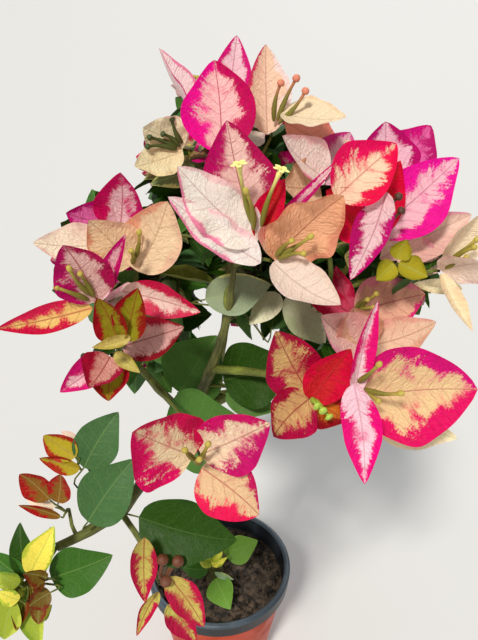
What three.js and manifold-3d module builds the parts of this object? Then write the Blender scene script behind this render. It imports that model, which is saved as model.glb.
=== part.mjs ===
// A bougainvillea bush in its nursery pot, in millimetres, +Z up, +X to the right, -Y to the front.
// The origin is the middle of the pot's flat underside.
// The pot, its rim and the soil are turned shapes. The trunk and boughs are tapering limbs swept
// along curves. Each bloom and leaf group is one closed solid: thick blades, each from a base to
// a tip, that meet in a core. Each inner mass is an uneven ball with lobes, where the foliage is
// too dense to part. Neighbours are cut back to leave a small gap.
import * as THREE from 'three';
import { mergeVertices } from 'three/addons/utils/BufferGeometryUtils.js';
import Module from 'manifold-3d';

const wasm = await Module();
wasm.setup();

// --- Driving dimensions -------------------------------------------------------------------------
const GAP = 0.35; // between solids that touch
const POT_HEIGHT = 98;
const RIM_RADIUS = 57;
const RIM_SKIRT = 13; // height of the rim's outer skirt
const RIM_LIP = 5; // width of the rolled lip, seen from above
const RIM_WALL = 1.8;
const POT_TOP_RADIUS = 54.6; // outside, under the rim
const POT_BASE_RADIUS = 39;
const POT_WALL = 1.8;
const POT_FLOOR = 3;
const DRAIN_RADIUS = 4;
const DRAIN_RING = 24; // the drain holes' distance from the middle
const DRAIN_COUNT = 6;
const ROUND = 24; // sides of the pot
const SOIL_LEVEL = 82;
const SOIL_LUMP = 1.4; // how far the soil's surface rises and falls
const TRUNK_FOOT = new THREE.Vector3(-5, 3, SOIL_LEVEL);
const TRUNK_RADIUS = 5.2;
const ROOT_FLARE = 1.75; // the foot's radius, in trunk radii
const FLARE_HEIGHT = 22;
const LIMB_SIDES = 6;
const BLADE_THICKNESS = 4.4;
const CORE_RADIUS = 5;
const PETIOLE_RADIUS = 1.3;
const GOLDEN_ANGLE = Math.PI * (3 - Math.sqrt(5));
const SMALLEST_EDGE = 0.15; // edges shorter than this are closed up after a cut

const FACING = [0, -0.87, 0.5]; // the way most of the blooms look: to the front, and up

const CLAY = new THREE.MeshStandardMaterial({ color: 0xa8432a, roughness: 0.6 });
const BLACK = new THREE.MeshStandardMaterial({ color: 0x22262a, roughness: 0.4 });
const EARTH = new THREE.MeshStandardMaterial({ color: 0x4a3c31, roughness: 0.95 });
const BARK = new THREE.MeshStandardMaterial({ color: 0x5b5a2c, roughness: 0.8 });
const BRACT = new THREE.MeshStandardMaterial({ color: 0xd93a7c, roughness: 0.7 });
const LEAF = new THREE.MeshStandardMaterial({ color: 0x3c6b2a, roughness: 0.6 });

// --- Limbs --------------------------------------------------------------------------------------
// Each limb: its points, then its radius at the thick end and at the thin end.
const FORK = [-9, -66, 300];
const STEM_JOINT = [9, -82, 365];
const STEM_TIP = [14, -90, 403];
const CANE_NODE = [-41, -126, 288];
const LEFT_FORK = [-37, -100, 366];
const RIGHT_FORK = [60, -80, 385];
const BACK_FORK = [8, 22, 318];
const LIMBS = {
  main_stem: { path: [FORK, [-2, -73, 326], STEM_JOINT, STEM_TIP], radii: [4.0, 1.6] },
  cane_base: { path: [FORK, [-23, -93, 297], [-32, -111, 294], CANE_NODE], radii: [3.5, 2.9] },
  cane_tip: { path: [CANE_NODE, [-55, -137, 287], [-68, -145, 286]], radii: [2.6, 2.0] },
  hanging_twig: { path: [CANE_NODE, [-30, -138, 280], [-21, -150, 268]], radii: [1.6, 1.1] },
  left_bough: { path: [FORK, [-19, -80, 320], [-31, -92, 348], LEFT_FORK], radii: [2.4, 1.6] },
  right_bough: { path: [[2, -76, 338], [28, -96, 349], [50, -120, 358]], radii: [2.2, 1.5] },
  right_back_bough: { path: [FORK, [20, -62, 320], [45, -72, 352], RIGHT_FORK], radii: [2.9, 1.9] },
  right_top_twig: { path: [RIGHT_FORK, [68, -88, 408], [70, -96, 419]], radii: [1.6, 1.2] },
  far_right_twig: { path: [RIGHT_FORK, [80, -90, 397], [99, -100, 405]], radii: [1.5, 1.1] },
  top_bough: { path: [[10, -84, 378], [13, -66, 408], [12, -56, 430]], radii: [1.9, 1.5] },
  back_bough: { path: [[-5, -16, 168], [-2, 6, 240], BACK_FORK], radii: [3.6, 2.6] },
  back_top_bough: { path: [BACK_FORK, [12, 34, 372], [8, 36, 430]], radii: [2.3, 1.5] },
  back_right_bough: { path: [BACK_FORK, [46, 28, 345], [88, 26, 384]], radii: [2.2, 1.5] },
  back_left_bough: { path: [[-1, 10, 256], [-30, 18, 290], [-54, 14, 326]], radii: [2.2, 1.5] },
};

// These run on past leaves, which are cut round them. The others end where they enter a mass.
const WHOLE_LIMBS = ['main_stem', 'cane_base', 'cane_tip', 'left_bough', 'back_bough'];

// --- Blooms and leaves --------------------------------------------------------------------------
// Each group has a heart, the way it faces (FACING where none is given), and its blades:
// [right, back, up] from the heart to the tip, the width, and the turn about the midrib in degrees.
const BLOOMS = {
  bloom_top_left: {
    heart: [10, -62, 444],
    blades: [[-4, 16, 38, 34, 0], [-22, 30, -6, 24, 0], [5, 23, -18, 24, 0]],
  },
  bloom_top_behind: {
    heart: [9, -38, 451],
    blades: [[8, 18, 38, 30, 0], [-33, 18, 32, 26, 65], [20, 30, -4, 26, 0]],
  },
  bloom_top_right: {
    heart: [31, -48, 451],
    blades: [[-3, 14, 37, 28, 25], [33, -16, 9, 26, -65], [31, 16, -9, 28, -20]],
  },
  bloom_behind_centre: {
    heart: [55, -57, 428],
    blades: [[-22, -10, 27, 24, 35], [-24, -18, 4, 26, 0], [14, 20, 20, 26, 0]],
  },
  bloom_small_cream: {
    heart: [-9, -52, 444],
    facing: [-0.8, -0.6, 0.1],
    blades: [[-20, -4, 13, 20, 0], [-21, -18, -2, 18, 0], [-11, 14, 12, 18, 0]],
  },
  bloom_centre: {
    heart: [23, -105, 421],
    blades: [[-37, -4, 19, 30, 10], [-12, 22, 42, 32, 0], [34, 14, 30, 28, 75]],
  },
  bloom_centre_right: {
    heart: [29, -109, 414],
    facing: [0.4, -0.85, 0.3],
    blades: [[30, -2, 26, 30, 0], [28, -22, -11, 26, -10], [-9, 26, 4, 22, 0]],
  },
  bloom_right_top: {
    heart: [71, -97, 420],
    blades: [[2, 16, 44, 32, -10], [39, 16, 28, 36, 0], [-12, -34, 1, 30, 60]],
  },
  bloom_right_behind: {
    heart: [85, -65, 430],
    blades: [[21, 24, 24, 30, 0], [-18, 20, 24, 28, 0], [-4, 8, -28, 26, 0]],
  },
  bloom_far_right: {
    heart: [101, -102, 406],
    facing: [0.7, -0.6, 0.3],
    blades: [[12, -22, -20, 12, 0], [16, 2, 24, 28, 20], [10, -26, 8, 24, 0]],
  },
  bloom_right_inner: {
    heart: [85, -88, 407],
    facing: [0.1, -0.9, 0.5],
    blades: [[33, 14, 11, 26, 0], [24, 2, -14, 22, 0], [2, -26, 4, 14, 0]],
  },
  bloom_mid_right: {
    heart: [67, -96, 382],
    blades: [[32, -2, 9, 30, 0], [-14, 8, 24, 24, 0], [-18, 6, -10, 22, 0]],
  },
  bloom_mid_right_low: {
    heart: [70, -111, 373],
    blades: [[31, -2, 16, 26, -20], [-25, -12, 18, 22, 20], [-9, -4, 28, 24, 0]],
  },
  bloom_lower_right: {
    heart: [62, -135, 369],
    facing: [0.2, -0.95, 0.3],
    blades: [[50, -3, -2, 47, 0], [8, 7, 38, 26, -70], [5, -24, -28, 28, 55]],
  },
  bloom_crimson: {
    heart: [46, -132, 362],
    blades: [[-17, 0, 34, 28, 0], [-18, -28, 4, 28, 0], [22, -6, 16, 28, 0]],
  },
  bloom_front: {
    heart: [-1, -156, 348],
    blades: [[-26, -12, 26, 38, 0], [30, -7, 25, 36, 0], [25, -26, 0, 36, 0]],
  },
  bloom_left_upper: {
    heart: [-30, -96, 405],
    blades: [[-41, -2, 11, 26, 0], [-14, -12, 27, 26, 0], [17, 0, 33, 34, 0]],
  },
  bloom_left_behind: {
    heart: [-38, -76, 414],
    blades: [[4, -6, 32, 26, 0], [-21, -10, 14, 24, 0], [20, 20, -8, 24, 0]],
  },
  bloom_left_front: {
    heart: [-42, -116, 398],
    blades: [[-11, -10, 31, 30, 0], [14, 2, 33, 20, 65], [-39, -14, -6, 24, -30]],
  },
  bloom_left_young: {
    heart: [-32, -131, 387],
    blades: [[-9, -2, 20, 16, 0], [9, 5, 23, 18, 0], [-14, -8, 2, 10, 50]],
  },
  bloom_left_red: {
    heart: [-31, -109, 385],
    blades: [[31, -11, 12, 26, 10], [18, -22, -4, 24, 0], [-8, 14, 16, 22, 0]],
  },
  bloom_left_low: {
    heart: [-38, -121, 376],
    blades: [[-22, -18, -8, 20, 0], [-4, -28, -2, 22, 0], [0, -8, -24, 22, 0]],
  },
  bloom_hanging: {
    heart: [-21, -150, 266],
    facing: [0.1, -0.8, 0.3],
    blades: [[-10, -9, 6, 16, 0, -5, 8, 14], [20, -18, -5, 26, 0], [-10, -17, -12, 14, 0], [16, -18, -15, 18, 0]],
  },
};

// Leaves and young shoots. Here a blade may also have its own base, [right, back, up] from the
// heart, after its turn, and a petiole then joins the two.
const LEAVES = {
  shoot_red: {
    heart: [-64, -136, 299],
    blades: [[-20, 0, 18, 16, 0], [-8, 10, 16, 14, 0], [-20, -6, 8, 7, 40]],
  },
  shoot_red_upper: {
    heart: [-59, -124, 317],
    blades: [[-15, 2, 14, 13, 0], [-15, -5, 8, 8, 0], [-4, 8, 14, 9, 0]],
  },
  shoot_young_right: {
    heart: [80, -110, 414],
    blades: [[3, 0, 10, 9, 0], [12, -6, -4, 10, 0], [-9, -7, -5, 9, 0]],
  },
  leaves_centre: {
    heart: [17, -77, 373],
    blades: [
      [14, -2, 15, 18, 0, -17, -4, 8],
      [-43, 4, 19, 12, 60, -13, 3, 13],
      [4, -5, -5, 11, 0, 19, 5, 6],
      [41, -8, -15, 16, 0, 22, 5, 5],
      [19, 13, -1, 14, 0, 15, 2, -12],
    ],
  },
  leaf_by_stem: {
    heart: [-17, -68, 316],
    blades: [[21, 8, 32, 34, 0]],
  },
  leaf_at_fork: {
    heart: [-21, -98, 312],
    blades: [[38, -1, 11, 42, 0]],
  },
  leaves_right: {
    heart: [14, -82, 330],
    blades: [[29, -4, 16, 34, 0, -6, 4, 2], [21, -7, -9, 16, 0, -5, 4, -6]],
  },
  leaves_cane: {
    heart: [-44, -134, 296],
    blades: [
      [12, 7, 27, 24, 0, -9, -7, 2],
      [4, 21, 43, 20, 0, -12, 9, 20],
      [59, -17, -2, 31, 0, 12, -5, 0],
    ],
  },
  leaves_cane_tip: {
    heart: [-78, -160, 282],
    blades: [
      [38, 4, 11, 21, 0, 10, 2, -1],
      [13, 14, 23, 13, 0],
      [-4, 14, 21, 10, 0],
      [-17, 8, 9, 12, 0],
      [12, -8, 9, 8, 0],
      [7, -18, -23, 15, 0],
      [-14, -15, -21, 13, 0],
    ],
  },
  leaves_top: {
    heart: [2, -42, 434],
    blades: [[-28, -10, -6, 14, 0], [30, 0, 6, 13, 0], [-8, -18, -18, 12, 0]],
  },
  shoots_basal: {
    heart: [-3, -13, 97],
    blades: [
      [14, -22, -4, 20, 0],
      [34, 20, 12, 22, 0, 12, 18, 8],
      [-12, 0, 15, 12, 0],
      [-18, 6, -3, 12, 0],
    ],
  },
};

// Inner and back masses: heart and reach. Their lobes are set out by one rule.
const CROWN_MIDDLE = [20, -70, 375];
const LOBES = 5;
const LOBE_SPREAD = 0.34; // radians that each lobe is further from the outward one
const INNER_CORE = 0.5; // the least reach of an inner mass, as a share of its full reach
const INNER_MASSES = {
  inner_top: { heart: [8, 34, 434], reach: 34 },
  inner_upper: { heart: [42, 6, 418], reach: 30 },
  inner_centre: { heart: [22, 44, 372], reach: 38 },
  inner_right: { heart: [92, 26, 388], reach: 36 },
  inner_right_low: { heart: [80, -20, 330], reach: 34 },
  inner_left: { heart: [-60, 12, 352], reach: 36 },
  inner_left_upper: { heart: [-46, -32, 386], reach: 30 },
  inner_left_low: { heart: [-38, 34, 290], reach: 28 },
};

// --- Making solids ------------------------------------------------------------------------------
const vector = (place) => (place.isVector3 ? place.clone() : new THREE.Vector3(...place));

// A closed geometry with its shared vertices merged, as a solid.
function solidOf(geometry) {
  const bare = geometry.index ? geometry.toNonIndexed() : geometry.clone();
  bare.deleteAttribute('normal');
  bare.deleteAttribute('uv');
  const merged = mergeVertices(bare, 1e-4);
  return new wasm.Manifold(new wasm.Mesh({
    numProp: 3,
    vertProperties: merged.attributes.position.array,
    triVerts: new Uint32Array(merged.index.array),
  }));
}

// A solid as a mesh that three.js can show.
function meshOf(name, solid, material) {
  const { vertProperties, triVerts } = solid.getMesh();
  const geometry = new THREE.BufferGeometry();
  geometry.setAttribute('position', new THREE.BufferAttribute(new Float32Array(vertProperties), 3));
  geometry.setIndex(new THREE.BufferAttribute(new Uint32Array(triVerts), 1));
  geometry.computeVertexNormals();
  const mesh = new THREE.Mesh(geometry, material);
  mesh.name = name;
  return mesh;
}

// Moves each vertex of a geometry to where the rule puts it.
function reshape(geometry, rule) {
  const places = geometry.attributes.position;
  for (let i = 0; i < places.count; i += 1) {
    const moved = rule(new THREE.Vector3().fromBufferAttribute(places, i));
    places.setXYZ(i, moved.x, moved.y, moved.z);
  }
  return geometry;
}

// A limb of round section that tapers along a curve. radiusAt gives its radius at 0 to 1 along it.
function limbSolid(path, radiusAt, grow = 0) {
  const curve = new THREE.CatmullRomCurve3(path.map(vector));
  const steps = 2 * (path.length - 1) + 1;
  const frames = curve.computeFrenetFrames(steps, false);
  const rod = new THREE.CylinderGeometry(1, 1, 1, LIMB_SIDES, steps);
  return solidOf(reshape(rod, ({ x, y, z }) => {
    const step = Math.round((0.5 - y) * steps);
    const radius = radiusAt(step / steps) + grow;
    return curve.getPointAt(step / steps)
      .addScaledVector(frames.normals[step], x * radius)
      .addScaledVector(frames.binormals[step], z * radius);
  }));
}

// How wide a blade is at 0 to 1 along it, as a share of its widest: rounded at the base, widest
// just before the middle, and drawn out to a point.
const bladeOutline = (along) => Math.sin(Math.PI * along ** 0.75) ** 0.8;

// A thick pointed blade from its base to its tip, with its edges raised towards the side it faces.
function bladeSolid(base, tip, width, turn, facing, grow = 0) {
  const midrib = tip.clone().sub(base);
  const length = midrib.length() + grow;
  midrib.normalize();
  const up = facing.clone().addScaledVector(midrib, -facing.dot(midrib)).normalize();
  up.applyAxisAngle(midrib, THREE.MathUtils.degToRad(turn));
  const side = new THREE.Vector3().crossVectors(up, midrib);
  const ball = new THREE.SphereGeometry(1, 4, 4);
  return solidOf(reshape(ball, ({ x, y, z }) => {
    const ring = Math.max(Math.hypot(x, z), 1e-6);
    const along = (1 - y) / 2;
    const pole = ring < 1e-3 ? 0 : 1;
    const half = pole * ((width / 2) * bladeOutline(along) + grow) * (x / ring);
    const thick = pole * (BLADE_THICKNESS / 2 + grow) * (z / ring) * (1.15 - 0.5 * along);
    return base.clone()
      .addScaledVector(midrib, along * length)
      .addScaledVector(side, half)
      .addScaledVector(up, thick + 0.3 * Math.abs(half));
  }));
}

// A bloom or leaf group: its blades and its core in one solid.
function massSolid({ heart, facing = FACING, blades }, grow = 0) {
  const middle = vector(heart);
  const out = vector(facing).normalize();
  const core = new THREE.OctahedronGeometry(CORE_RADIUS + grow, 0).translate(...heart);
  return blades.reduce((whole, [right, back, up, width, turn, ...from]) => {
    const tip = middle.clone().add(new THREE.Vector3(right, back, up));
    if (from.length === 0) return whole.add(bladeSolid(middle, tip, width, turn, out, grow));
    const base = middle.clone().add(vector(from));
    return whole.add(bladeSolid(base, tip, width, turn, out, grow))
      .add(petioleSolid(middle, base, tip, grow));
  }, solidOf(core));
}

// A thin straight stalk from a heart to a little way inside a blade.
function petioleSolid(heart, base, tip, grow) {
  const end = base.clone().lerp(tip, 0.12);
  const along = end.clone().sub(heart);
  const rod = new THREE.CylinderGeometry(PETIOLE_RADIUS + grow, PETIOLE_RADIUS + grow, along.length(), 4)
    .rotateX(Math.PI / 2)
    .lookAt(along)
    .translate(...heart.clone().addScaledVector(along, 0.5).toArray());
  return solidOf(rod);
}

// An uneven ball of shoots: its reach rises to LOBES tips, the first away from the crown's middle
// and each of the others turned from the last by the golden angle.
function innerSolid({ heart, reach }, grow = 0) {
  const out = vector(heart).sub(vector(CROWN_MIDDLE)).normalize();
  const across = new THREE.Vector3(0, 0, 1).cross(out).normalize();
  const over = new THREE.Vector3().crossVectors(out, across);
  const lobes = Array.from({ length: LOBES }, (_, i) => {
    const lift = Math.PI / 2 - i * LOBE_SPREAD;
    const turn = i * GOLDEN_ANGLE;
    return out.clone().multiplyScalar(Math.sin(lift))
      .addScaledVector(across, Math.cos(lift) * Math.cos(turn))
      .addScaledVector(over, Math.cos(lift) * Math.sin(turn));
  });
  const ball = new THREE.IcosahedronGeometry(1, 1);
  return solidOf(reshape(ball, (place) => {
    const nearest = Math.max(...lobes.map((lobe) => lobe.dot(place)));
    const radius = reach * (INNER_CORE + (1 - INNER_CORE) * Math.max(0, nearest) ** 3) + grow;
    return place.multiplyScalar(radius).add(vector(heart));
  }));
}

// --- The plant and its pot ----------------------------------------------------------------------
const lathe = (profile) => new THREE.LatheGeometry(
  profile.map(([radius, height]) => new THREE.Vector2(radius, height)), ROUND,
).rotateX(Math.PI / 2);

// The pot's outer radius at a height.
const potRadius = (height) => THREE.MathUtils.lerp(POT_BASE_RADIUS, POT_TOP_RADIUS, height / POT_HEIGHT);

function potSolid() {
  const top = POT_HEIGHT - RIM_WALL - GAP;
  const shell = solidOf(lathe([
    [0, 0],
    [POT_BASE_RADIUS, 0],
    [potRadius(top), top],
    [potRadius(top) - POT_WALL, top],
    [potRadius(POT_FLOOR) - POT_WALL, POT_FLOOR],
    [0, POT_FLOOR],
  ]));
  let pot = shell;
  for (let i = 0; i < DRAIN_COUNT; i += 1) {
    const turn = ((i + 0.5) * 2 * Math.PI) / DRAIN_COUNT;
    const drill = new THREE.CylinderGeometry(DRAIN_RADIUS, DRAIN_RADIUS, 4 * POT_FLOOR, 10)
      .rotateX(Math.PI / 2)
      .translate(DRAIN_RING * Math.cos(turn), DRAIN_RING * Math.sin(turn), 0);
    pot = pot.subtract(solidOf(drill));
  }
  return pot;
}

// The rim hooks over the pot's edge: a lip on top, and a skirt down the outside.
function rimSolid() {
  const skirtFoot = POT_HEIGHT - RIM_SKIRT;
  const inside = potRadius(POT_HEIGHT) + GAP;
  return solidOf(lathe([
    [potRadius(skirtFoot) + GAP, skirtFoot],
    [RIM_RADIUS - 0.8, skirtFoot],
    [RIM_RADIUS, POT_HEIGHT - 1.2],
    [RIM_RADIUS - 1.2, POT_HEIGHT],
    [RIM_RADIUS - RIM_LIP, POT_HEIGHT],
    [RIM_RADIUS - RIM_LIP, POT_HEIGHT - RIM_WALL],
    [inside, POT_HEIGHT - RIM_WALL],
    [potRadius(skirtFoot) + GAP, skirtFoot],
  ]));
}

// The soil fills the pot to its level, with an uneven surface that is flat round the trunk's foot.
function soilSolid() {
  const bottom = POT_FLOOR + GAP;
  const edge = (height) => potRadius(height) - POT_WALL - GAP;
  const rings = [0.25, 0.5, 0.75];
  const fill = lathe([
    [0, bottom],
    [edge(bottom), bottom],
    [edge(SOIL_LEVEL - 1), SOIL_LEVEL - 1],
    ...rings.map((share) => [edge(SOIL_LEVEL) * (1 - share), SOIL_LEVEL]),
    [0, SOIL_LEVEL],
  ]);
  const level = SOIL_LEVEL - GAP;
  return solidOf(reshape(fill, (place) => {
    if (place.z < SOIL_LEVEL - 0.5) return place;
    const away = Math.hypot(place.x - TRUNK_FOOT.x, place.y - TRUNK_FOOT.y);
    const rough = THREE.MathUtils.smoothstep(away, 14, 26);
    const wave = Math.sin(place.x / 7) * Math.cos(place.y / 9) - 0.6;
    return new THREE.Vector3(place.x, place.y, level + rough * SOIL_LUMP * wave);
  }));
}

// The trunk stands on the soil with a flared foot, and leans forward to its fork.
function trunkSolid(grow = 0) {
  const path = [TRUNK_FOOT.toArray(), [-5, -3, 102], [-8, -18, 165], [-3, -40, 230], FORK];
  const height = FORK[2] - SOIL_LEVEL;
  const trunk = limbSolid(path, (along) => {
    const flare = Math.max(0, 1 - (along * height) / FLARE_HEIGHT) ** 2;
    return TRUNK_RADIUS * (1 - 0.2 * along + (ROOT_FLARE - 1) * flare);
  }, grow);
  return trunk.trimByPlane([0, 0, 1], SOIL_LEVEL);
}

const taper = ([thick, thin]) => (along) => THREE.MathUtils.lerp(thick, thin, along);

// Cuts a solid back from the grown shapes of those placed before it, and keeps its largest piece.
function cutBack(solid, placed) {
  let left = solid;
  for (const grown of placed) {
    const shared = left.intersect(grown);
    if (shared.volume() > 1e-6) left = left.subtract(grown);
  }
  if (left !== solid) {
    const pieces = left.decompose().sort((a, b) => b.volume() - a.volume());
    [left] = pieces;
  }
  return left.simplify(SMALLEST_EDGE);
}

const bush = new THREE.Group();
bush.add(meshOf('pot', potSolid(), CLAY));
bush.add(meshOf('pot_rim', rimSolid(), BLACK));
bush.add(meshOf('soil', soilSolid(), EARTH));

const placed = [];
function place(name, material, make) {
  bush.add(meshOf(name, cutBack(make(0), placed), material));
  placed.push(make(GAP));
}

place('trunk', BARK, trunkSolid);
const limbMaker = ({ path, radii }) => (grow) => limbSolid(path, taper(radii), grow);
for (const name of WHOLE_LIMBS) place(name, BARK, limbMaker(LIMBS[name]));
for (const [name, mass] of Object.entries(BLOOMS)) place(name, BRACT, (grow) => massSolid(mass, grow));
for (const [name, mass] of Object.entries(LEAVES)) place(name, LEAF, (grow) => massSolid(mass, grow));
for (const [name, mass] of Object.entries(INNER_MASSES)) {
  place(name, LEAF, (grow) => innerSolid(mass, grow));
}
for (const [name, limb] of Object.entries(LIMBS)) {
  if (!WHOLE_LIMBS.includes(name)) place(name, BARK, limbMaker(limb));
}

export default bush;
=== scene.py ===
"""A bougainvillea bush in its nursery pot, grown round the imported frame.

Lengths are in millimetres unless said, in the row frame: +X right, -Y to the front, +Z up.
"""

import math
from collections import namedtuple

import bpy
import numpy as np
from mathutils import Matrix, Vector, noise

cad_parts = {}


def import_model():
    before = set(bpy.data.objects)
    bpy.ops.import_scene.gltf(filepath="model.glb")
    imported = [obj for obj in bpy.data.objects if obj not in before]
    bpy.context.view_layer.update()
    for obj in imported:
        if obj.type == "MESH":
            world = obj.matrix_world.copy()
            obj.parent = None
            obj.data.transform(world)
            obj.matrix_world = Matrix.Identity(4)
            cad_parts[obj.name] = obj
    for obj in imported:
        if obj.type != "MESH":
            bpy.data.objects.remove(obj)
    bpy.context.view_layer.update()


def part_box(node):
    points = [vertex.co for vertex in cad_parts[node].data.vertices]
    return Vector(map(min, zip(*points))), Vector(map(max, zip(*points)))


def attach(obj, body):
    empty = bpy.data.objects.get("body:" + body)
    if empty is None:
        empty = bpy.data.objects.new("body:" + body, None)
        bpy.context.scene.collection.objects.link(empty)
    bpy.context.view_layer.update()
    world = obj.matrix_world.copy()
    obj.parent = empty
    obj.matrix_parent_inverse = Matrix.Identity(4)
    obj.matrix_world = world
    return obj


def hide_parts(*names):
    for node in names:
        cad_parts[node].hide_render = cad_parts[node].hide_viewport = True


MM = 0.001
UP = np.array((0, 0, 1.0))
FRONT = (0.0, -0.87, 0.5)  # the way most blooms look
GOLDEN_ANGLE = math.pi * (3 - math.sqrt(5))
MAP_NAME = "OFBake"  # the texture map that the export looks for
MAP_MARGIN = 0.05  # of a sheet's square on the map

# --- Blades: bracts and leaves ---
BLADE_ROWS, BLADE_COLUMNS = 24, 12  # steps along a blade and across it
LIGHT_ROWS, LIGHT_COLUMNS = 10, 6  # the same for the many blades of the back masses
TIP_START = 0.55  # how far along a blade its tip begins
EDGE_WOBBLE = 0.05  # how uneven its outline is, as a share of its width
MOST_SWAY = 0.03  # how far it may bend aside, as a share of its length
BASE_CLEARING = 7  # how far the border draws back at the foot
CLEARING_LENGTH = 0.3  # how far along the blade it has drawn in again
WIDEST_BORDER = 0.33  # of the blade's width
COLOUR_JITTER = 0.05  # how far a blade's colours differ from those of its kind

# Each kind of blade: the colours of its middle and its left and right borders, the border's width
# and how strong its veins are.
KINDS = {
    "rose_cream": ("#fae2b4 #e40460 #d80850", 11, 0.5),
    "rose_cream_right": ("#fae4c0 #d80c6c #c80c6c", 9, 0.5),
    "peach_red": ("#ecc898 #c8105c #ee1854", 8, 0.6),
    "crimson_gold": ("#dcb478 #b40444 #b0043c", 8.5, 0.8),
    "scarlet": ("#d42430 #ec0848 #d8083c", 8, 0.5),
    "magenta_cream": ("#f0cc9c #e0087c #e00460", 11.5, 0.6),
    "hot_pink": ("#fbdce4 #f00480 #e80878", 7, 0.3),
    "cherry_cream": ("#fbe4c0 #f00860 #ec084c", 11, 0.5),
    "orchid": ("#fcc4cc #f40c9c #f00c94", 11.5, 0.5),
    "dusty_rose": ("#ecc2c8 #c83480 #d45c94", 6, 0.5),
    # orchid_rose: its darker crimson right border is a painted shadow that falls across the bract.
    "orchid_rose": ("#fcccc8 #fa049c #c4045c", 10, 0.8),
    "orchid_fold": ("#f4ccd4 #cc0478 #bc0468", 4.5, 0.5),
    "blush_pink": ("#f0ccc0 #f0a0b8 #ecb8b0", 4, 0.5),
    "peach_clear": ("#f8dcb8 #eca888 #f0c8a8", 5, 0.4),
    "dark_red_pink": ("#e8b4ac #a80c30 #8c0c20", 4, 0.7),
    "olive_shoot": ("#a49a20 #8c8818 #948c1c", 1.5, 0.4),
    "ember": ("#d07020 #a00c1c #8c0818", 5, 0.6),
    "magenta": ("#e868a8 #d8047c #b80468", 12, 0.5),
    "pale_rose": ("#f8ccd6 #e0147c #d81078", 4, 0.6),
    "cream": ("#f8e6d0 #f2ccb8 #f4dac8", 3, 0.4),
    "cream_rose": ("#fbe4dc #e8608c #ee88a4", 2, 0.4),
    "cream_peach": ("#f8d8b6 #ec3c70 #fbe8dc", 3.5, 0.6),
    "salmon": ("#f0a488 #e08a74 #ecb098", 4, 0.5),
    "white_pink": ("#fffaee #f890b0 #f8d0cc", 2.5, 0.5),
    "orange_brown": ("#f0bc90 #e4a078 #e09c78", 3.5, 0.8),
    "ivory": ("#f0e6d6 #e8d8c4 #f6ece0", 2, 0.5),
    "mauve": ("#f0c8bc #c00464 #b00450", 8, 0.8),
    "crimson_rose": ("#d04868 #b00838 #b80c3c", 5, 0.5),
    "peach": ("#f0c8a8 #e8a894 #e4ac8c", 4, 0.6),
    "peach_rose": ("#e2b494 #e8909c #d42470", 4.5, 0.8),
    "blush": ("#f2d2c8 #e8a4b0 #eab8b4", 4, 0.5),
    "pink_magenta": ("#f2c8cc #d80464 #cc0468", 7, 0.7),
    "gold_red": ("#ecc878 #cc0c40 #d81c50", 4.5, 0.7),
    "pale_red": ("#f8d8cc #d4184c #d83458", 4.5, 0.5),
    "wine": ("#dca494 #a8083c #b00838", 5.5, 0.7),
    "young": ("#94901c #a4081c #901810", 3.4, 0.6),
    "straw": ("#d8cc72 #c4b850 #ccbc60", 2, 0.4),
    "pale_yellow": ("#f6e8c0 #f2dcae #f4e4c0", 2, 0.3),
    "lime_crimson": ("#c8c060 #c00c44 #b41440", 4, 0.7),
    "red_shoot": ("#84581c #a80c14 #980c10", 5, 0.6),
    "gold_shoot": ("#b4a428 #b02c1c #981c14", 2.6, 0.5),
    # Leaves.
    "deep": ("#24480a #26440c #26440c", 0, 0.2),
    "mid": ("#38661e #386024 #386024", 0, 0.4),
    "soft": ("#4c7430 #4c7430 #4c7430", 0, 0.3),
    "grey": ("#446c3c #547648 #547648", 0, 0.4),
    "dark": ("#244408 #243e08 #243e08", 0, 0.25),
    "variegated": ("#6c7c50 #d0d284 #b8c070", 3, 0.4),
    "silver": ("#8aa07c #c4d07c #90a884", 1.2, 0.3),
    "pale": ("#b4b494 #dcd4b4 #a8ac84", 3.5, 0.3),
    "olive": ("#5c6818 #8c9440 #6c7828", 1.5, 0.4),
    "lemon": ("#efe45a #b8c83c #98b030", 2.2, 0.5),
    "lime": ("#98a634 #b8c048 #7c9428", 2, 0.5),
    "bright": ("#6c9a38 #80a848 #74a040", 1, 0.6),
    "bronze": ("#70581c #7c3014 #6c2c12", 2.5, 0.5),
}

# How a blade is bent: the rise of its edges, the fold at its midrib, how far its middle is pushed
# back, the turn of its tip, the waves in its edge, and how drawn out its tip is.
SHAPES = {
    "open": (0.22, 0.10, 0.04, 0.05, 0.05, 0.22),
    "round": (0.20, 0.10, 0.05, 0.04, 0.05, 0.06),
    "cup": (0.45, 0.12, 0.08, 0.03, 0.05, 0.22),
    "fold": (0.20, 0.55, 0.04, 0.04, 0.04, 0.22),
    "wavy": (0.20, 0.12, 0.04, 0.06, 0.14, 0.26),
    "crumpled": (0.18, 0.22, 0.05, 0.04, 0.20, 0.12),
    "curl": (0.35, 0.20, 0.10, -0.12, 0.06, 0.20),
    "leaf": (0.10, 0.20, -0.03, -0.06, 0.04, 0.30),
}

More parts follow.
